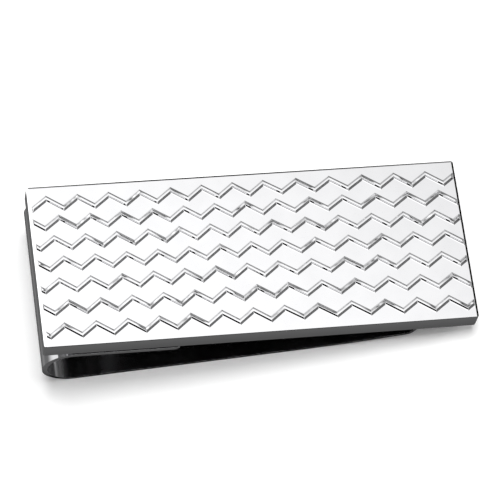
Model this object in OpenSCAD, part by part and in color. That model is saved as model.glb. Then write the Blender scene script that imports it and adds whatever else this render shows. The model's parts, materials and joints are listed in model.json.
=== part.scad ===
// Steel money clip: a thick polished face plate with raised zigzag ridges, and a bent
// spring strip brazed under it. Banknotes slide in between the plate and the strip's arm.
// It lies on the flat stretch of that arm, so the plate slopes down towards the open end.
// +X runs from the bend to the open end, +Y across the plate to its far long side, +Z up.
// The origin is on the table, under the middle of the clip's length and width.

/* [Face plate] */
// Length of the plate
plate_length = 53.1; // [49.1:0.5:60.1]
// Width of the plate
plate_width = 21.1; // [20.7:0.1:24]
// Thickness of the plate without its ridges
plate_thickness = 2.6; // [2:0.1:3.2]
// Plan radius of the plate's four corners
plate_corner_radius = 0.3; // [0.1:0.05:1]
// Width of the shallow cut along the top edges of the plate's two ends
end_cut_width = 0.25; // [0.05:0.05:0.3]
// Depth of that cut
end_cut_depth = 0.1; // [0.05:0.05:0.3]
// Width of the cut along the top edges of the plate's long sides
side_cut_width = 0.12; // [0.04:0.02:0.3]
// Depth of that cut
side_cut_depth = 0.06; // [0.02:0.02:0.3]
// Slope of the plate down towards the open end, when the clip lies on its arm
plate_slope = 8.1; // [6:0.05:8.2]

/* [Zigzag ridges] */
// Number of ridges across the plate
ridge_rows = 7; // [1:1:7]
// Width of a ridge, square to its own run
ridge_width = 0.42; // [0.25:0.01:0.6]
// Height of a ridge above the plate
ridge_height = 0.25; // [0.1:0.01:0.4]
// Distance from a ridge's peaks to its troughs
ridge_swing = 1.38; // [0.8:0.01:1.6]
// Distance from the plate's far edge to the first ridge's middle line
first_row_inset = 2.25; // [1.7:0.05:2.3]
// Distance between the first two ridges
row_pitch = 2.6; // [2.4:0.01:2.65]
// Extra distance that each later ridge adds to the one before
row_pitch_growth = 0.076; // [0:0.001:0.08]
// Length of each zigzag in the first run of a ridge
narrow_pitch = 3.82; // [3.4:0.01:4.2]
// Length of each zigzag in the second run
wide_pitch = 4.12; // [3.4:0.01:4.4]
// Length of each zigzag in the last run
last_pitch = 3.97; // [3.4:0.01:4.4]
// Number of zigzags in the first run
narrow_count = 7; // [1:1:9]
// Number of zigzags in the second run
wide_count = 3; // [1:1:4]
// Share of a zigzag that its falling stroke takes
falling_share = 0.525; // [0.4:0.005:0.6]
// Height of the slow wave that all ridges follow along the plate
wave_height = 0.15; // [0:0.01:0.2]
// Length of that wave
wave_length = 52; // [30:1:60]
// Distance from the plate's left end to where the wave rises through its middle
wave_start = 19; // [0:0.5:45]
// Distance from the plate's left end to the first peak of an odd ridge
first_peak = 2.71; // [2:0.02:3.5]
// Shift of the even ridges along the plate
even_row_shift = 0.86; // [0:0.01:2]
// Shift of the first ridge along the plate
first_row_shift = -0.42; // [-1:0.01:1]
// Gap between the ridges' cut ends and the plate's ends
ridge_end_gap = 0.47; // [0.3:0.01:1]

/* [Spring strip] */
// Thickness of the strip
strip_thickness = 0.65; // [0.5:0.05:0.9]
// Inset of the strip's long edges from the plate's
strip_inset = 0.05; // [0:0.05:1]
// Inner radius of the return bend
bend_inner_radius = 3.25; // [2.85:0.1:3.65]
// Distance that the plate's left end stands out past the bend
bend_end_gap = 0.25; // [0:0.05:1]
// Length of the strip's short leg, from the middle of the bend
leg_length = 12.95; // [8:0.05:16]
// Plan radius of the short leg's two corners
leg_corner_radius = 1; // [0.5:0.1:3]
// Length of the arm's flat stretch, from the middle of the bend
arm_flat_length = 26; // [22:0.5:32]
// Radius of the arm's curve up to its tip
arm_curve_radius = 165; // [150:5:600]
// Distance from the middle of the bend to the arm's tip
arm_reach = 43; // [36:0.1:43.5]
// Plan radius of the tip's two corners
tip_corner_radius = 2.5; // [1:0.1:5]

/* [Flexure] */
// Widest opening of the clip, in degrees
open_angle = 8; // [2:0.5:8]
// Angle round the bend, from its top, where the half that holds the leg ends
split_angle = 128; // [100:1:150]
// Clearance left in the split when the clip is fully open
split_clearance = 0.12; // [0.05:0.01:0.3]

/* [Braze] */
// Thickness of the braze between the plate and the strip's leg
braze_thickness = 0.35; // [0.1:0.01:0.4]
// Inset of the braze from the leg's outline
braze_inset = 1; // [0.2:0.1:3]

/* [Hidden] */

STEEL = [0.78, 0.78, 0.79];
SPRING_STEEL = [0.7, 0.7, 0.72];
BRAZE = [0.45, 0.44, 0.43];

BEND_FN = 180;
CURVE_FN = 1440;
CORNER_FN = 64;

strip_width = plate_width - 2 * strip_inset;
bend_outer_radius = bend_inner_radius + strip_thickness;
bend_mid_radius = bend_inner_radius + strip_thickness / 2;

// Heights and places along the plate are counted from the middle of the bend
plate_left = -bend_outer_radius - bend_end_gap;
plate_right = plate_left + plate_length;
plate_bottom = bend_outer_radius + braze_thickness;
plate_top = plate_bottom + plate_thickness;

// The clip's furthest points from the middle of the bend, left and right, as it lies
left_reach = min(-bend_outer_radius, plate_left * cos(plate_slope) + plate_bottom * sin(plate_slope));
right_reach = plate_right * cos(plate_slope) + (plate_top - end_cut_depth) * sin(plate_slope);
bend_x = -(left_reach + right_reach) / 2;
bend_z = bend_outer_radius;

// A turn that carries the arm's curve well past the tip, where the plan outline cuts it off
arm_curve_turn = 10;

// The split is as wide as the outside of the bend travels, plus the clearance
split_width_angle = open_angle + split_clearance / bend_outer_radius * 180 / PI;

first_row_y = plate_width / 2 - first_row_inset;
last_zigzag = ceil((plate_length - first_peak) / min(narrow_pitch, wide_pitch, last_pitch)) + 1;

// Each gap between two ridges is wider than the one before by the same step
function row_y(row) = first_row_y - row * row_pitch - row * (row - 1) / 2 * row_pitch_growth;

function row_shift(row) = row == 0 ? first_row_shift : row % 2 == 1 ? even_row_shift : 0;

// Distance from a ridge's first peak to its peak k
function run(k) =
    k * narrow_pitch
    + max(0, k - narrow_count) * (wide_pitch - narrow_pitch)
    + max(0, k - narrow_count - wide_count) * (last_pitch - wide_pitch);

function peak_x(row, k) = plate_left + first_peak + row_shift(row) + run(k);

function trough_x(row, k) = peak_x(row, k) + falling_share * (run(k + 1) - run(k));

function wave(x) = wave_height * sin(360 * (x - plate_left - wave_start) / wave_length);

function corner(row, x, rise) = [x, row_y(row) + wave(x) + rise];

// Peaks and troughs in turn, from before the plate's left end to past its right end
function row_points(row) = [
    for (k = [-2 : last_zigzag])
        for (half = [0, 1])
            half == 0
                ? corner(row, peak_x(row, k), ridge_swing / 2)
                : corner(row, trough_x(row, k), -ridge_swing / 2)
];

function unit(v) = v / norm(v);

// How far a band's corner at point i lies from its middle line, so that its corners are mitred
function mitre(points, i, half_width) =
    let (
        before = unit(points[i] - points[i - 1]),
        after = unit(points[i + 1] - points[i]),
        normal = unit([-before.y - after.y, before.x + after.x])
    )
    normal * half_width / (normal * [-before.y, before.x]);

function band(points, half_width) = concat(
    [for (i = [1 : len(points) - 2]) points[i] + mitre(points, i, half_width)],
    [for (i = [len(points) - 2 : -1 : 1]) points[i] - mitre(points, i, half_width)]
);

// Places a piece that is drawn level, about the middle of the bend
module level() {
    translate([bend_x, 0, bend_z]) children();
}

// Places a piece that slopes with the plate
module sloped() {
    level() rotate([0, plate_slope, 0]) children();
}

// A rectangle from one corner to the other
module span_square(low, high) {
    translate(low) square(high - low);
}

// A rectangle centred across the clip, with all four corners rounded
module rounded_plan(x_low, x_high, width, radius) {
    span_square([x_low + radius, -width / 2], [x_high - radius, width / 2]);
    span_square([x_low, -width / 2 + radius], [x_high, width / 2 - radius]);
    for (x = [x_low + radius, x_high - radius])
        for (side = [-1, 1])
            translate([x, side * (width / 2 - radius)]) circle(r = radius, $fn = CORNER_FN);
}

// Part of a ring between two angles, at most 180 degrees apart, counted anticlockwise from straight down
module ring_sector(mid_radius, from_angle, to_angle, fn) {
    reach = 2 * mid_radius;
    middle = (from_angle + to_angle) / 2;
    intersection() {
        difference() {
            circle(r = mid_radius + strip_thickness / 2, $fn = fn);
            circle(r = mid_radius - strip_thickness / 2, $fn = fn);
        }
        polygon([
            [0, 0],
            reach * [sin(from_angle), -cos(from_angle)],
            2 * reach * [sin(middle), -cos(middle)],
            reach * [sin(to_angle), -cos(to_angle)]
        ]);
    }
}

// A stretch of the strip: a side profile, with X along the clip and Y up, as wide as the strip.
// Its free end, at x_high, has rounded corners in plan.
module strip(x_high, corner_radius) {
    intersection() {
        rotate([90, 0, 0])
            linear_extrude(height = strip_width, center = true) children();
        linear_extrude(height = 4 * bend_outer_radius, center = true)
            rounded_plan(2 * plate_left, x_high, strip_width, corner_radius);
    }
}

module ridge(row) {
    translate([0, 0, plate_top])
        linear_extrude(height = ridge_height)
            intersection() {
                polygon(band(row_points(row), ridge_width / 2));
                span_square(
                    [plate_left + ridge_end_gap, -plate_width],
                    [plate_right - ridge_end_gap, plate_width]
                );
            }
}

// A profile of the plate between two places, with both its top corners cut off
module plate_profile(low, high, cut_width, cut_depth) {
    polygon([
        [low, 0],
        [high, 0],
        [high, plate_thickness - cut_depth],
        [high - cut_width, plate_thickness],
        [low + cut_width, plate_thickness],
        [low, plate_thickness - cut_depth]
    ]);
}

// The plate without its ridges, standing on zero height
module plate_slab() {
    intersection() {
        linear_extrude(height = plate_thickness)
            rounded_plan(plate_left, plate_right, plate_width, plate_corner_radius);
        rotate([90, 0, 0])
            linear_extrude(height = plate_width, center = true)
                plate_profile(plate_left, plate_right, end_cut_width, end_cut_depth);
        rotate([90, 0, 90])
            linear_extrude(height = 2 * plate_length, center = true)
                plate_profile(-plate_width / 2, plate_width / 2, side_cut_width, side_cut_depth);
    }
}

// The thick plate that shows, with its ridges struck up out of the face
module face_plate() {
    color(STEEL)
        sloped() {
            translate([0, 0, plate_bottom]) plate_slab();
            for (row = [0 : ridge_rows - 1]) ridge(row);
        }
}

// The braze that holds the strip's leg to the underside of the plate
module braze_layer() {
    color(BRAZE)
        sloped()
            translate([0, 0, bend_outer_radius])
                linear_extrude(height = braze_thickness)
                    span_square(
                        [0, braze_inset - strip_width / 2],
                        [leg_length - braze_inset, strip_width / 2 - braze_inset]
                    );
}

// The half of the strip that moves with the plate: the short leg and the upper part of the bend
module spring_root() {
    color(SPRING_STEEL)
        sloped()
            strip(leg_length, leg_corner_radius) {
                span_square([0, bend_inner_radius], [leg_length, bend_outer_radius]);
                ring_sector(bend_mid_radius, 180, 180 + split_angle, BEND_FN);
            }
}

// The half of the strip that lies on the table: the rest of the bend and the long arm
module spring_arm() {
    color(SPRING_STEEL)
        level()
            strip(arm_reach, tip_corner_radius) {
                ring_sector(
                    bend_mid_radius,
                    180 + split_angle + split_width_angle - plate_slope,
                    360,
                    BEND_FN
                );
                span_square([0, -bend_outer_radius], [arm_flat_length, -bend_inner_radius]);
                translate([arm_flat_length, arm_curve_radius - bend_mid_radius])
                    ring_sector(arm_curve_radius, 0, arm_curve_turn, CURVE_FN);
            }
}

face_plate();
braze_layer();
spring_root();
spring_arm();
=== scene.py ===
# Looks of the steel money clip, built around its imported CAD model: the face plate with its ridges and the
# bent spring strip are meshes made here, and the braze between them keeps its CAD shape.
import json
import math

import bmesh
import bpy
from mathutils import Matrix, Vector, noise
from mathutils.geometry import delaunay_2d_cdt


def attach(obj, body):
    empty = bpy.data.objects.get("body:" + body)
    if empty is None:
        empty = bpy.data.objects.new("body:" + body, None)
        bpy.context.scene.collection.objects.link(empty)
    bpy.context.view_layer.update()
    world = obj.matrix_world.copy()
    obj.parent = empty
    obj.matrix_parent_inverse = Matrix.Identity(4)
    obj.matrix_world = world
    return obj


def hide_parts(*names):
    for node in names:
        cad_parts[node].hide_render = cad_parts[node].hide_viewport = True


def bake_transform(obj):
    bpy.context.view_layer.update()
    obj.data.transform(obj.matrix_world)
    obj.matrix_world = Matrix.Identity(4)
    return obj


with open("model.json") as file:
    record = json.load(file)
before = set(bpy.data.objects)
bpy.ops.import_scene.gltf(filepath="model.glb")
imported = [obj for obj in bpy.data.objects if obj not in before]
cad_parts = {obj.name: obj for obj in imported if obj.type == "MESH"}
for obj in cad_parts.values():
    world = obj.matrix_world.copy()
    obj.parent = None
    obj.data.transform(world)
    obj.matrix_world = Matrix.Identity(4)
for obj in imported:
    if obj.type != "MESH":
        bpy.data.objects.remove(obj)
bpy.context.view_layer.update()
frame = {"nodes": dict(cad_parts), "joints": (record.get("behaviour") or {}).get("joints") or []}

MM = 0.001

# ---------------------------------------------------------------- sizes, as the CAD model has them

PLATE_SLOPE = math.radians(8.1)
PLATE_CORNER_RADIUS = 0.3 * MM
STRIP_THICKNESS = 0.65 * MM
LEG_CORNER_RADIUS = 1.0 * MM
ARM_FLAT_LENGTH = 26.0 * MM
ARM_CURVE_RADIUS = 165.0 * MM
TIP_CORNER_RADIUS = 2.5 * MM

RIDGE_ROWS = 7
RIDGE_WIDTH = 0.42 * MM
RIDGE_HEIGHT = 0.25 * MM
RIDGE_SWING = 1.38 * MM
RIDGE_END_GAP = 0.47 * MM
FIRST_ROW_INSET = 2.25 * MM
ROW_PITCH = 2.6 * MM
ROW_PITCH_GROWTH = 0.076 * MM
NARROW_PITCH = 3.82 * MM
WIDE_PITCH = 4.12 * MM
LAST_PITCH = 3.97 * MM
NARROW_COUNT = 7
WIDE_COUNT = 3
FALLING_SHARE = 0.525
WAVE_HEIGHT = 0.15 * MM
WAVE_LENGTH = 52.0 * MM
WAVE_START = 19.0 * MM
FIRST_PEAK = 2.71 * MM
EVEN_ROW_SHIFT = 0.86 * MM
FIRST_ROW_SHIFT = -0.42 * MM

# ---------------------------------------------------------------- sizes that only the looks have

# The outer faces lie this far inside the CAD model's
TUCK = 0.005 * MM
# (width, depth) of the shallow cuts along the plate's top edges, and how soft their own edges are.
# The middle point of such a soft edge lies inside its corner by a share of the way across
END_CUT = Vector((0.25, 0.1)) * MM
FAR_CUT = Vector((0.2, 0.08)) * MM
NEAR_CUT = Vector((0.04, 0.07)) * MM
CUT_SOFT = 0.01 * MM
SOFT_SHARE = 0.25
PLATE_BOTTOM_ROUND = 0.06 * MM
# How far the plate's walls stand out at mid height, which curves their reflections
PLATE_CROWN = 0.012 * MM
RIDGE_WALL_SLOPE = math.radians(63)
RIDGE_TOP_INSET = 0.12 * MM
RIDGE_TOP_ROUND = 0.08 * MM
RIDGE_FOOT_ROUND = 0.16 * MM
RIDGE_TURN_ROUND = 0.05 * MM
# A rounded turn takes up at most this share of the side next to it
LARGEST_TURN_SHARE = 0.4
# A worn patch of a ridge drops by about this much at its far shoulder. Patches lie where a slow noise
# along the row is above a level, and are at their deepest where it is higher by the rise
RIDGE_WEAR = 0.13 * MM
WEAR_PATCH_LENGTH = 2.6 * MM
WEAR_ROW_STEP = 7.3
WEAR_LEVEL = 0.08
WEAR_RISE = 0.3
# A finer noise varies the depth round its mean share
WEAR_GRAIN_SCALE = 5
WEAR_GRAIN_MEAN = 0.75
WEAR_GRAIN_RANGE = 0.5
STRIP_ROUND = 0.005 * MM
# The arm's long edges lean in this far towards its outer face. The lean comes in along the bend,
# between these two angles from the leg
ARM_LEAN = 0.09 * MM
LEAN_FROM = math.radians(95)
LEAN_TO = math.radians(140)
# Flat faces stay flat up to this distance from a rounding
SUPPORT = 0.02 * MM
ROUND_STEPS = 5
WALL_STEPS = 6
TURN_STEPS = 3
STROKE_STEPS = 9
CORNER_STEPS = 10
STRAIGHT_STEPS = 3
BEND_STEP = math.radians(2.5)
CURVE_STEP = math.radians(0.5)

# ---------------------------------------------------------------- places, from the frame

joint = frame["joints"][0]
bend_centre = Vector(joint["pos_m"])
level = Matrix.Translation(bend_centre)
sloped = level @ Matrix.Rotation(PLATE_SLOPE, 4, "Y")


def box_in(node, axes):
    """Lowest and highest corner of a CAD node, along the given axes."""
    turned = [axes.inverted() @ v.co for v in frame["nodes"][node].data.vertices]
    low = Vector([min(p[i] for p in turned) for i in range(3)])
    high = Vector([max(p[i] for p in turned) for i in range(3)])
    return low, high


plate_low, plate_high = box_in("face_plate", sloped)
_, leg_high = box_in("spring_root", sloped)
_, arm_high = box_in("spring_arm", level)
plate_top = plate_high.z - RIDGE_HEIGHT
strip_half_width = leg_high.y
bend_mid_radius = leg_high.z - STRIP_THICKNESS / 2

# ---------------------------------------------------------------- mesh building


def quarter(radius, steps):
    """Points of a quarter circle about its centre, from straight out to straight up."""
    return [
        (radius * math.cos(i / steps * math.pi / 2), radius * math.sin(i / steps * math.pi / 2))
        for i in range(steps + 1)
    ]


def wall_rings(low_round, wall_high, crown):
    """(inset, height) of each ring round a slab, from its underside's support to the top of its wall."""
    rings = [(low_round + SUPPORT, 0)]
    rings += [(low_round - a, low_round - b) for a, b in reversed(quarter(low_round, ROUND_STEPS))]
    wall_low = low_round + SUPPORT
    for step in range(WALL_STEPS + 1):
        t = step / WALL_STEPS
        rings.append((-crown * (1 - (2 * t - 1) ** 2), wall_low + t * (wall_high - wall_low)))
    return [(inset + crown + TUCK, height) for inset, height in rings]


def round_edge_rings(thickness, radius):
    """(inset, height) of each ring round a slab whose edges are all rounded."""
    rings = wall_rings(radius, thickness - radius - SUPPORT, 0)
    rings += [(radius - a + TUCK, thickness - radius + b) for a, b in quarter(radius, ROUND_STEPS)]
    return rings + [(radius + SUPPORT + TUCK, thickness)]


def cut_edge_rings(thickness, low_round, cut, crown):
    """(inset, height) of each ring round a slab whose upper edge has a flat, slanting cut."""
    low, high = Vector((0, thickness - cut.y)), Vector((cut.x, thickness))
    along = (high - low).normalized() * CUT_SOFT
    down, inward = Vector((0, -CUT_SOFT)), Vector((CUT_SOFT, 0))
    rings = wall_rings(low_round, thickness - cut.y - CUT_SOFT - SUPPORT, crown)
    edge = [low + down, low.lerp(low + down + along, SOFT_SHARE), low + along, low + 2 * along]
    edge += [high - 2 * along, high - along, high.lerp(high - along + inward, SOFT_SHARE)]
    edge += [high + inward, high + 2 * inward]
    return rings + [(p.x + crown + TUCK, p.y) for p in edge]


def rounded_side(x_low, x_high, half_width, radius_low, radius_high, stations, inset, end_inset):
    """Far side of a rounded rectangle, inset by one distance along its sides and another at its ends.

    Each point is (x, y, share), where share goes from 1 at an end to 0 on the side.
    """

    def corner(end, inward, radius, turns):
        along = max(radius - end_inset, SUPPORT)
        across = max(radius - inset, SUPPORT)
        return [
            (
                end + inward * (end_inset + along * (1 - math.cos(turn))),
                half_width - inset - across * (1 - math.sin(turn)),
                math.cos(turn) ** 2,
            )
            for turn in turns
        ]

    turns = [i / CORNER_STEPS * math.pi / 2 for i in range(CORNER_STEPS + 1)]
    straight = [(x, half_width - inset, 0) for x in stations]
    low_corner = corner(x_low, 1, radius_low, turns)
    return low_corner + straight + corner(x_high, -1, radius_high, turns[::-1])


def closed(far, near=None):
    """The whole outline, anticlockwise, from its far half and the mirror image of its near half.

    Both halves are given as far ones, and without near they are the same.
    """
    return [(x, -y, share) for x, y, share in near or far] + far[::-1]


def loft(bm, rings):
    """Joins closed rings of vertices with quads. The first ring is the one inside or below."""
    for lower, upper in zip(rings, rings[1:]):
        for i in range(len(lower)):
            j = (i + 1) % len(lower)
            bm.faces.new((lower[i], lower[j], upper[j], upper[i]))


def cap_across(bm, ring, upward):
    """Closes a ring made by closed() with quads from its near side to its far side."""
    half = len(ring) // 2
    for i in range(half - 1):
        quad = [ring[i], ring[i + 1], ring[-2 - i], ring[-1 - i]]
        bm.faces.new(quad if upward else quad[::-1])


def cap_flat(bm, outer, holes):
    """Closes a flat ring, apart from the rings inside it, with evenly shaped triangles."""
    verts = list(outer) + [v for hole in holes for v in hole]
    loops, start = [], 0
    for ring in [outer, *holes]:
        loops.append(list(range(start, start + len(ring))))
        start += len(ring)
    points = [v.co.xy for v in verts]
    only_inside, tolerance = 1, 1e-9
    _, _, triangles, source, _, inside = delaunay_2d_cdt(points, [], loops, only_inside, tolerance)
    for triangle, loops_round_it in zip(triangles, inside):
        if loops_round_it == [0]:
            bm.faces.new([verts[source[i][0]] for i in triangle])


def ring_at(bm, outline, height, end_height):
    """A ring of vertices at one height along an outline's sides and another at its ends."""
    return [bm.verts.new((x, y, height + share * (end_height - height))) for x, y, share in outline]


def two_sided_ring_at(bm, outline, near_height, far_height, end_height):
    """A ring of vertices whose height also differs between its near side and its far side."""
    half = len(outline) // 2
    near = ring_at(bm, outline[:half], near_height, end_height)
    return near + ring_at(bm, outline[half:], far_height, end_height)


def finished(bm, name, place):
    """Turns the finished bmesh into a smooth object, with every point put in its place."""
    for v in bm.verts:
        v.co = place(v.co)
    bm.normal_update()
    for face in bm.faces:
        face.smooth = True
    mesh = bpy.data.meshes.new(name)
    bm.to_mesh(mesh)
    bm.free()
    piece = bpy.data.objects.new(name, mesh)
    bpy.context.scene.collection.objects.link(piece)
    return piece


# ---------------------------------------------------------------- face plate


def row_y(row):
    """Middle of a row of ridges across the plate. The rows spread slightly towards the near side."""
    return plate_high.y - FIRST_ROW_INSET - row * ROW_PITCH - row * (row - 1) / 2 * ROW_PITCH_GROWTH


def row_shift(row):
    """How far a row of ridges is moved along the plate. The second, fourth and sixth are moved alike."""
    if row == 0:
        return FIRST_ROW_SHIFT
    return EVEN_ROW_SHIFT if row % 2 == 1 else 0


def run(k):
    """Distance from a ridge's first peak to its peak k."""
    wider = max(0, k - NARROW_COUNT) * (WIDE_PITCH - NARROW_PITCH)
    last = max(0, k - NARROW_COUNT - WIDE_COUNT) * (LAST_PITCH - WIDE_PITCH)
    return k * NARROW_PITCH + wider + last


def wave(x):
    """The slow wave that all the rows follow."""
    return WAVE_HEIGHT * math.sin(2 * math.pi * (x - plate_low.x - WAVE_START) / WAVE_LENGTH)


def row_points(row):
    """Middle line of a ridge, from before the plate's left end to past its right end."""
    points = []
    k = -2
    while not points or points[-1].x < plate_high.x + WIDE_PITCH:
        peak = plate_low.x + FIRST_PEAK + row_shift(row) + run(k)
        trough = peak + FALLING_SHARE * (run(k + 1) - run(k))
        points.append(Vector((peak, row_y(row) + wave(peak) + RIDGE_SWING / 2)))
        points.append(Vector((trough, row_y(row) + wave(trough) - RIDGE_SWING / 2)))
        k += 1
    return points


def left_of(direction):
    return Vector((-direction.y, direction.x))


def mitred(before, point, after, distance):
    """Where the corner at point goes when both its edges move by distance to their left."""
    into = left_of((point - before).normalized())
    out = left_of((after - point).normalized())
    normal = (into + out).normalized()
    return point + normal * distance / normal.dot(into)


def cut_between(points, x_low, x_high):
    """The part of a line of points between two x, with new points at its ends and no tiny first step."""
    kept = []
    for a, b in zip(points, points[1:]):
        for x in (x_low, x_high):
            if a.x < x < b.x:
                kept.append(a.lerp(b, (x - a.x) / (b.x - a.x)))
        if x_low < b.x < x_high:
            kept.append(b)
    kept.sort(key=lambda p: p.x)
    if (kept[1] - kept[0]).length < RIDGE_WIDTH:
        kept[:2] = [Vector((x_low, kept[1].y))]
    return kept


def ridge_outline(row):
    """Anticlockwise corners of a ridge: a mitred band, cut off straight near the plate's ends."""
    points = row_points(row)
    x_low, x_high = plate_low.x + RIDGE_END_GAP, plate_high.x - RIDGE_END_GAP
    sides = []
    for distance in (-RIDGE_WIDTH / 2, RIDGE_WIDTH / 2):
        edge = [mitred(a, b, c, distance) for a, b, c in zip(points, points[1:], points[2:])]
        sides.append(cut_between(edge, x_low, x_high))
    near, far = sides
    return near + far[::-1]


def moved_out(corners, distance):
    """A closed, anticlockwise outline grown by distance, or shrunk if it is negative."""
    return [
        mitred(corners[i - 1], corners[i], corners[(i + 1) % len(corners)], -distance)
        for i in range(len(corners))
    ]


def with_round_turns(corners):
    """Rounds each corner of a closed outline, and puts evenly spaced points along each side."""
    arcs = []
    for i, corner in enumerate(corners):
        before, after = corners[i - 1], corners[(i + 1) % len(corners)]
        back, ahead = before - corner, after - corner
        tangent = RIDGE_TURN_ROUND / math.tan(back.angle(ahead) / 2)
        a = corner + back.normalized() * min(tangent, LARGEST_TURN_SHARE * back.length)
        b = corner + ahead.normalized() * min(tangent, LARGEST_TURN_SHARE * ahead.length)
        steps = [step / TURN_STEPS for step in range(TURN_STEPS + 1)]
        arcs.append([a.lerp(corner, t).lerp(corner.lerp(b, t), t) for t in steps])
    outline = []
    for arc, following in zip(arcs, arcs[1:] + arcs[:1]):
        outline += arc
        outline += [arc[-1].lerp(following[0], i / STROKE_STEPS) for i in range(1, STROKE_STEPS)]
    return outline


def ridge_rings():
    """(growth, height) of each ring round a ridge, from the plate's face to the ridge's flat top."""
    foot, top, slope = RIDGE_FOOT_ROUND, RIDGE_TOP_ROUND, RIDGE_WALL_SLOPE
    turns = [slope * i / ROUND_STEPS for i in range(ROUND_STEPS + 1)]
    wall_height = RIDGE_HEIGHT - (foot + top) * (1 - math.cos(slope))
    foot_growth = (foot + top) * math.sin(slope) + wall_height / math.tan(slope) - RIDGE_TOP_INSET
    rings = [(foot_growth + SUPPORT, 0)]
    rings += [(foot_growth - foot * math.sin(t), foot - foot * math.cos(t)) for t in turns]
    for t in reversed(turns):
        rings.append((top * math.sin(t) - RIDGE_TOP_INSET, RIDGE_HEIGHT - top + top * math.cos(t)))
    return rings


def wear(point, row):
    """How far a ridge's far shoulder has dropped here. It has in patches, and not at all between them."""
    place = Vector((point.x / WEAR_PATCH_LENGTH, row * WEAR_ROW_STEP, 0))
    patch = max(0, min(1, (noise.noise(place) - WEAR_LEVEL) / WEAR_RISE))
    grain = WEAR_GRAIN_MEAN + WEAR_GRAIN_RANGE * noise.noise(place * WEAR_GRAIN_SCALE)
    return RIDGE_WEAR * patch * grain


def add_ridge(bm, row):
    """Adds a ridge, open at its foot, and returns its lowest ring."""
    corners = ridge_outline(row)
    far_start = len(corners) // 2 * (TURN_STEPS + STROKE_STEPS)
    rings = []
    for growth, height in ridge_rings():
        ring = []
        for i, point in enumerate(with_round_turns(moved_out(corners, growth))):
            drop = wear(point, row) * height / RIDGE_HEIGHT if i >= far_start else 0
            ring.append(bm.verts.new((point.x, point.y, plate_top + height - drop)))
        rings.append(ring)
    loft(bm, rings)
    cap_flat(bm, rings[-1], [])
    return rings[0]


def plate_side(inset, end_inset):
    """Far half of the plate's outline."""
    quarters = [plate_low.lerp(plate_high, t).x for t in (0.25, 0.5, 0.75)]
    radius = PLATE_CORNER_RADIUS
    return rounded_side(plate_low.x, plate_high.x, plate_high.y, radius, radius, quarters, inset, end_inset)


def make_face_plate():
    bm = bmesh.new()
    thickness = plate_top - plate_low.z
    cuts = (NEAR_CUT, FAR_CUT, END_CUT)
    sections = [cut_edge_rings(thickness, PLATE_BOTTOM_ROUND, cut, PLATE_CROWN) for cut in cuts]
    rings = []
    for near, far, end in zip(*sections):
        outline = closed(plate_side(far[0], end[0]), plate_side(near[0], end[0]))
        heights = [plate_low.z + height for height in (near[1], far[1], end[1])]
        rings.append(two_sided_ring_at(bm, outline, *heights))
    loft(bm, rings)
    cap_across(bm, rings[0], upward=False)
    feet = [add_ridge(bm, row) for row in range(RIDGE_ROWS)]
    cap_flat(bm, rings[-1], feet)
    return finished(bm, "polished_face_plate", lambda p: sloped @ p)


# ---------------------------------------------------------------- spring strip


def strip_run():
    """(length, turn per length, steps) of each stretch of the strip's middle line, from the leg's end."""
    bend_turn = math.pi + PLATE_SLOPE
    outer_radius = ARM_CURVE_RADIUS + STRIP_THICKNESS / 2
    tip_turn = math.asin((arm_high.x - ARM_FLAT_LENGTH) / outer_radius)
    return [
        (leg_high.x, 0, STRAIGHT_STEPS),
        (bend_turn * bend_mid_radius, 1 / bend_mid_radius, round(bend_turn / BEND_STEP)),
        (ARM_FLAT_LENGTH, 0, STRAIGHT_STEPS),
        (tip_turn * ARM_CURVE_RADIUS, 1 / ARM_CURVE_RADIUS, round(tip_turn / CURVE_STEP)),
    ]


def strip_stations():
    """Places of the mesh's rows of points along the strip, between its rounded ends, and its length."""
    stations, start = [], 0
    for length, _, count in strip_run():
        stations += [start + length * i / count for i in range(count + 1)]
        start += length
    low, high = LEG_CORNER_RADIUS + SUPPORT, start - TIP_CORNER_RADIUS - SUPPORT
    return [s for i, s in enumerate(stations) if low < s < high and s not in stations[:i]], start


def narrowed(s, height):
    """How much narrower the strip is at s along it and height out from its inner face, as a share."""
    turned = (s - leg_high.x) / bend_mid_radius
    share = max(0, min(1, (turned - LEAN_FROM) / (LEAN_TO - LEAN_FROM)))
    return 1 - share * ARM_LEAN * height / (STRIP_THICKNESS * strip_half_width)


def strip_place(s, y, height):
    """The point that is s along the strip, y across it and height out from its inner face."""
    leg_start = Vector((leg_high.x, 0, bend_mid_radius))
    point = Matrix.Rotation(PLATE_SLOPE, 3, "Y") @ leg_start
    heading = math.pi - PLATE_SLOPE
    rest = s
    for length, turn, _ in strip_run():
        part = min(rest, length)
        if turn:
            swing = part * turn
            side = Vector((-math.sin(heading), 0, math.cos(heading)))
            turned = Vector((-math.sin(heading + swing), 0, math.cos(heading + swing)))
            point = point + (side - turned) / turn
            heading += swing
        else:
            point = point + Vector((math.cos(heading), 0, math.sin(heading))) * part
        rest -= part
    outward = Vector((math.sin(heading), 0, -math.cos(heading)))
    sideways = Vector((0, y * narrowed(s, height), 0))
    return level @ (point + outward * (height - STRIP_THICKNESS / 2) + sideways)


def make_strip():
    bm = bmesh.new()
    stations, length = strip_stations()
    rings = []
    for inset, height in round_edge_rings(STRIP_THICKNESS - TUCK, STRIP_ROUND):
        radii = (LEG_CORNER_RADIUS, TIP_CORNER_RADIUS)
        side = rounded_side(0, length, strip_half_width, *radii, stations, inset, inset)
        rings.append(ring_at(bm, closed(side), height, height))
    loft(bm, rings)
    cap_across(bm, rings[0], upward=False)
    cap_across(bm, rings[-1], upward=True)
    return finished(bm, "bent_spring_strip", lambda p: strip_place(*p))


# ---------------------------------------------------------------- materials

# The brushed inside of the strip's bend fades out between these two x from the bend's middle, and
# between these two depths under the strip's inner face
BRUSHED_X = (-1.9 * MM, -0.3 * MM)
BRUSHED_DEPTH = (0.05 * MM, 0.1 * MM)
BRUSHED_ROUGHNESS = 0.2


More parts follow.
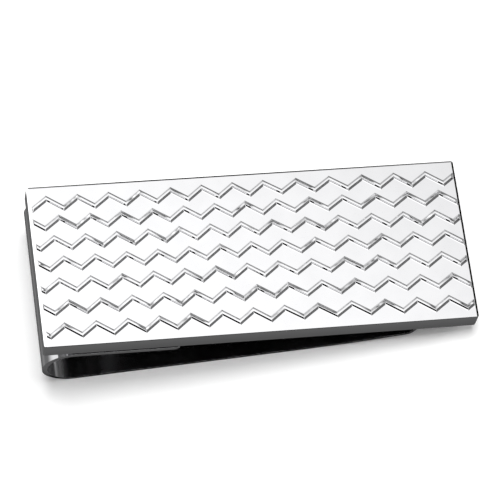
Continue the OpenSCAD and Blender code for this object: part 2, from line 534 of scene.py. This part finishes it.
class Nodes:
    """Short calls for building one material's or the world's node tree."""

    def __init__(self, tree):
        self.tree = tree
        tree.nodes.clear()

    def feed(self, socket, value):
        if isinstance(value, bpy.types.NodeSocket):
            self.tree.links.new(value, socket)
        else:
            socket.default_value = value

    def add(self, kind, feeds=None, **settings):
        """A new node, with its settings, and with its inputs fed by name."""
        node = self.tree.nodes.new(kind)
        for name, value in settings.items():
            setattr(node, name, value)
        for name, value in (feeds or {}).items():
            self.feed(node.inputs[name], value)
        return node

    def operate(self, kind, operation, values):
        node = self.add(kind, operation=operation)
        for socket, value in zip(node.inputs, values):
            self.feed(socket, value)
        return node

    def math(self, operation, *values):
        return self.operate("ShaderNodeMath", operation, values).outputs[0]

    def vector(self, operation, *values):
        return self.operate("ShaderNodeVectorMath", operation, values).outputs[0]

    def dot(self, *values):
        return self.operate("ShaderNodeVectorMath", "DOT_PRODUCT", values).outputs["Value"]

    def parts(self, vector):
        """The outputs X, Y and Z of a vector."""
        return self.add("ShaderNodeSeparateXYZ", {"Vector": vector}).outputs

    def stretch(self, value, low, high, to_low, to_high, smooth=False):
        """The value moved from one range to another, and held at its ends."""
        feeds = {"Value": value, "From Min": low, "From Max": high, "To Min": to_low, "To Max": to_high}
        kind = "SMOOTHSTEP" if smooth else "LINEAR"
        return self.add("ShaderNodeMapRange", feeds, interpolation_type=kind).outputs[0]

    def noise(self, vector, scale, detail, roughness):
        feeds = {"Vector": vector, "Scale": scale, "Detail": detail, "Roughness": roughness}
        return self.add("ShaderNodeTexNoise", feeds).outputs[0]

    def mix(self, share, a, b):
        node = self.add("ShaderNodeMix", {"Factor": share, "A": a, "B": b}, data_type="RGBA")
        return node.outputs["Result"]

    def ramp(self, value, stops):
        """A grey that follows a value from 0 to 1 through (value, brightness) stops."""
        node = self.add("ShaderNodeValToRGB")
        elements = node.color_ramp.elements
        while len(elements) < len(stops):
            elements.new(0.5)
        for element, (position, grey) in zip(elements, stops):
            element.position = position
            element.color = (grey, grey, grey, 1)
        self.feed(node.inputs[0], value)
        return node.outputs[0]

    def bump(self, height, strength, distance):
        feeds = {"Height": height, "Strength": strength, "Distance": distance}
        return self.add("ShaderNodeBump", feeds).outputs[0]

    def surface(self, shader):
        self.add("ShaderNodeOutputMaterial", {"Surface": shader.outputs[0]})


def new_material(name):
    """A material, the calls for its empty node tree, and the place of a point on its object."""
    material = bpy.data.materials.new(name)
    material.use_nodes = True
    n = Nodes(material.node_tree)
    return material, n, n.add("ShaderNodeTexCoord").outputs["Object"]


def brushed_bend(n, place):
    """1 on the inside of the strip's bend, where the polishing wheel didn't reach, and 0 elsewhere."""
    from_axis = n.parts(n.vector("SUBTRACT", place, bend_centre))
    squares = [n.math("POWER", n.math("ABSOLUTE", from_axis[axis]), 2) for axis in ("X", "Z")]
    radius = n.math("SQRT", n.math("ADD", *squares))
    inner_radius = bend_mid_radius - STRIP_THICKNESS / 2
    inside = n.stretch(radius, inner_radius + BRUSHED_DEPTH[0], inner_radius + BRUSHED_DEPTH[1], 1, 0)
    left = n.stretch(from_axis["X"], *BRUSHED_X, 1, 0, smooth=True)
    return n.math("MULTIPLY", inside, left)


def make_steel(name, light, dark, roughness, scratch_scale, scratch_depth, brushed=False):
    """Polished steel: hairline polishing marks in one direction, and soft smudges that dull it a little."""
    material, n, place = new_material(name)
    smudge = n.noise(place, scale=260, detail=4, roughness=0.6)
    turn = {"Vector": place, "Rotation": (0, PLATE_SLOPE, 0), "Scale": scratch_scale}
    along = n.add("ShaderNodeMapping", turn).outputs[0]
    hairlines = n.noise(along, scale=1000, detail=3, roughness=0.7)
    colour = n.mix(n.stretch(smudge, low=0.35, high=0.65, to_low=0, to_high=1), light, dark)
    roughness_here = n.stretch(smudge, low=0.3, high=0.7, to_low=roughness[0], to_high=roughness[1])
    shader = n.add("ShaderNodeBsdfPrincipled", {"Metallic": 1.0, "Base Color": colour})
    if brushed:
        mask = brushed_bend(n, place)
        roughness_here = n.math("ADD", roughness_here, n.math("MULTIPLY", mask, BRUSHED_ROUGHNESS))
        n.feed(shader.inputs["Anisotropic"], mask)
        across = n.add("ShaderNodeCombineXYZ", {"Y": 1})
        n.feed(shader.inputs["Tangent"], across.outputs[0])
    n.feed(shader.inputs["Roughness"], roughness_here)
    n.feed(shader.inputs["Normal"], n.bump(hairlines, strength=scratch_depth, distance=0.002 * MM))
    n.surface(shader)
    return material


def make_braze():
    """Dull, slightly grainy braze metal."""
    material, n, place = new_material("braze_metal")
    grain = n.noise(place, scale=4000, detail=3, roughness=0.6)
    blotch = n.noise(place, scale=700, detail=2, roughness=0.5)
    looks = {
        "Metallic": 1.0,
        "Base Color": n.mix(blotch, (0.24, 0.22, 0.2, 1), (0.42, 0.4, 0.37, 1)),
        "Roughness": n.stretch(grain, low=0.3, high=0.7, to_low=0.35, to_high=0.6),
        "Normal": n.bump(grain, strength=0.6, distance=0.03 * MM),
    }
    n.surface(n.add("ShaderNodeBsdfPrincipled", looks))
    return material


def make_floor_material():
    """White paper that glows a little, so that the shadow on it stays pale."""
    material, n, _ = new_material("pale_floor")
    looks = {
        "Base Color": (0.93, 0.93, 0.93, 1),
        "Roughness": 1.0,
        "Specular IOR Level": 0.0,
        "Emission Color": (1, 1, 1, 1),
        "Emission Strength": 0.13,
    }
    n.surface(n.add("ShaderNodeBsdfPrincipled", looks))
    return material


# ---------------------------------------------------------------- camera, floor and light

CAMERA_AIM = Vector((0.117, 0.564, 6.985)) * MM
CAMERA_DISTANCE = 428.4 * MM
CAMERA_AZIMUTH = math.radians(5.93)
CAMERA_ELEVATION = math.radians(66.27)
CAMERA_ROLL = math.radians(-1.69)
CAMERA_LENS = 254.3
FLOOR_HALF_WIDTH = 1.5


def make_camera():
    a, e = CAMERA_AZIMUTH, CAMERA_ELEVATION
    ahead = Vector((math.sin(a) * math.cos(e), math.cos(a) * math.cos(e), -math.sin(e)))
    right = Vector((math.cos(a), -math.sin(a), 0))
    up = right.cross(ahead)
    right, up = (
        right * math.cos(CAMERA_ROLL) + up * math.sin(CAMERA_ROLL),
        up * math.cos(CAMERA_ROLL) - right * math.sin(CAMERA_ROLL),
    )
    data = bpy.data.cameras.new("camera")
    data.lens = CAMERA_LENS
    data.clip_start = 0.01
    data.clip_end = 10
    camera = bpy.data.objects.new("camera", data)
    turn = Matrix((right, up, -ahead)).transposed().to_4x4()
    camera.matrix_world = Matrix.Translation(CAMERA_AIM - ahead * CAMERA_DISTANCE) @ turn
    bpy.context.scene.collection.objects.link(camera)
    bpy.context.scene.camera = camera


def make_floor():
    half = FLOOR_HALF_WIDTH
    corners = [(-half, -half, 0), (half, -half, 0), (half, half, 0), (-half, half, 0)]
    mesh = bpy.data.meshes.new("floor")
    mesh.from_pydata(corners, [], [(0, 1, 2, 3)])
    mesh.materials.append(make_floor_material())
    floor = bpy.data.objects.new("floor", mesh)
    bpy.context.scene.collection.objects.link(floor)
    # The steel sees the studio's dark lower half and not the floor, so its walls stay dark
    floor.visible_glossy = False


# The middle of the studio's main light
LIGHT_TOWARDS = Vector((-0.25, -0.35, 0.9)).normalized()
# How bright it is, as (cosine of the angle from its middle, brightness)
LIGHT_GREYS = [(0, 0), (0.14, 0.04), (0.31, 0.3), (0.45, 0.85), (0.53, 1.15), (0.6, 1.5), (0.75, 1.6)]
# It fades to the right between these two x of a direction, down to a faint spill
LIGHT_RIGHT_EDGE = (0.4, 0.6)
LIGHT_SPILL = 0.02
# It fades towards a horizon between these two heights of a direction. The horizon rises to both sides
HORIZON_EDGE = (0.25, 0.66)
HORIZON_RISE = 0.6
# How grey the studio is below, as (how far down a direction points, brightness)
GROUND_GREYS = [
    (0.45, 0),
    (0.6, 0.14),
    (0.75, 0.15),
    (0.87, 0.135),
    (0.915, 0.14),
    (0.95, 0.09),
    (0.975, 0.01),
]
# Small soft lights, as (middle, cosine where it starts, cosine where it is full, brightness)
SMALL_LIGHTS = [
    (Vector((-0.3, 0.82, 0.48)), 0.85, 0.97, 0.75),
    (Vector((0.55, 0.75, 0.37)), 0.92, 0.985, 0.4),
    (Vector((0.85, -0.45, 0.25)), 0.75, 0.97, 0.22),
    (Vector((-0.9, 0.4, -0.2)), 0.7, 0.97, 0.2),
    (Vector((-0.7, 0.4, 0.65)), 0.62, 1.0, 1.1),
    (Vector((0.9, 0.4, -0.05)), 0.93, 0.985, 1.0),
    (Vector((0.4, -0.85, 0.35)), 0.85, 0.95, 1.5),
]


def make_world():
    """A dark studio: a big soft light above, left and in front, small ones all round, and a grey ground."""
    world = bpy.data.worlds.new("studio")
    bpy.context.scene.world = world
    world.use_nodes = True
    n = Nodes(world.node_tree)
    direction = n.add("ShaderNodeTexCoord").outputs["Generated"]
    parts = n.parts(direction)
    main_light = n.ramp(n.dot(direction, LIGHT_TOWARDS), LIGHT_GREYS)
    left_part = n.stretch(parts["X"], *LIGHT_RIGHT_EDGE, 1, LIGHT_SPILL, smooth=True)
    rise = n.math("MULTIPLY", n.math("ABSOLUTE", parts["X"]), HORIZON_RISE)
    upper_part = n.stretch(n.math("SUBTRACT", parts["Z"], rise), *HORIZON_EDGE, 0, 1, smooth=True)
    total = n.math("MULTIPLY", n.math("MULTIPLY", main_light, left_part), upper_part)
    for middle, start, full, brightness in SMALL_LIGHTS:
        towards = n.dot(direction, middle.normalized())
        total = n.math("ADD", total, n.stretch(towards, start, full, 0, brightness, smooth=True))
    total = n.math("ADD", total, n.ramp(n.math("MULTIPLY", parts["Z"], -1), GROUND_GREYS))
    background = n.add("ShaderNodeBackground", {"Color": total})
    n.add("ShaderNodeOutputWorld", {"Surface": background.outputs[0]})
    # The floor is lit by the lamps and its own glow alone, while the metal shows the studio alone
    world.cycles_visibility.diffuse = False


# One lamp is above and a little behind, and two are low at the sides, as (where each is, strength)
LAMPS = [
    (Vector((-0.9, 0.02, 0.38)), 1.1),
    (Vector((0.05, 0.24, 0.96)), 3.0),
    (Vector((0.9, 0.02, 0.38)), 1.6),
]
LAMP_SPREAD = math.radians(40)


def make_lamps():
    """Soft lamps that light only the floor."""
    for towards, strength in LAMPS:
        data = bpy.data.lights.new("lamp", "SUN")
        data.energy = strength
        data.angle = LAMP_SPREAD
        lamp = bpy.data.objects.new("lamp", data)
        lamp.rotation_euler = towards.to_track_quat("Z", "Y").to_euler()
        lamp.visible_glossy = False
        bpy.context.scene.collection.objects.link(lamp)


# ---------------------------------------------------------------- the clip

bpy.context.scene.view_settings.view_transform = "Standard"
make_camera()
make_floor()
make_world()
make_lamps()

face_steel = make_steel(
    "face_steel",
    light=(0.74, 0.74, 0.75, 1),
    dark=(0.71, 0.71, 0.72, 1),
    roughness=(0.03, 0.06),
    scratch_scale=(0.3, 20, 20),
    scratch_depth=0.3,
)
spring_steel = make_steel(
    "spring_steel",
    light=(0.7, 0.7, 0.71, 1),
    dark=(0.66, 0.66, 0.67, 1),
    roughness=(0.08, 0.12),
    scratch_scale=(0.3, 20, 0.3),
    scratch_depth=0.4,
    brushed=True,
)

face_plate = make_face_plate()
face_plate.data.materials.append(face_steel)
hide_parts("face_plate")
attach(face_plate, "face")

strip = make_strip()
strip.data.materials.append(spring_steel)
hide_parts("spring_root", "spring_arm")
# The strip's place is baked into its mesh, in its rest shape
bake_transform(strip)

braze = frame["nodes"]["braze_layer"]
braze.data.materials.clear()
braze.data.materials.append(make_braze())
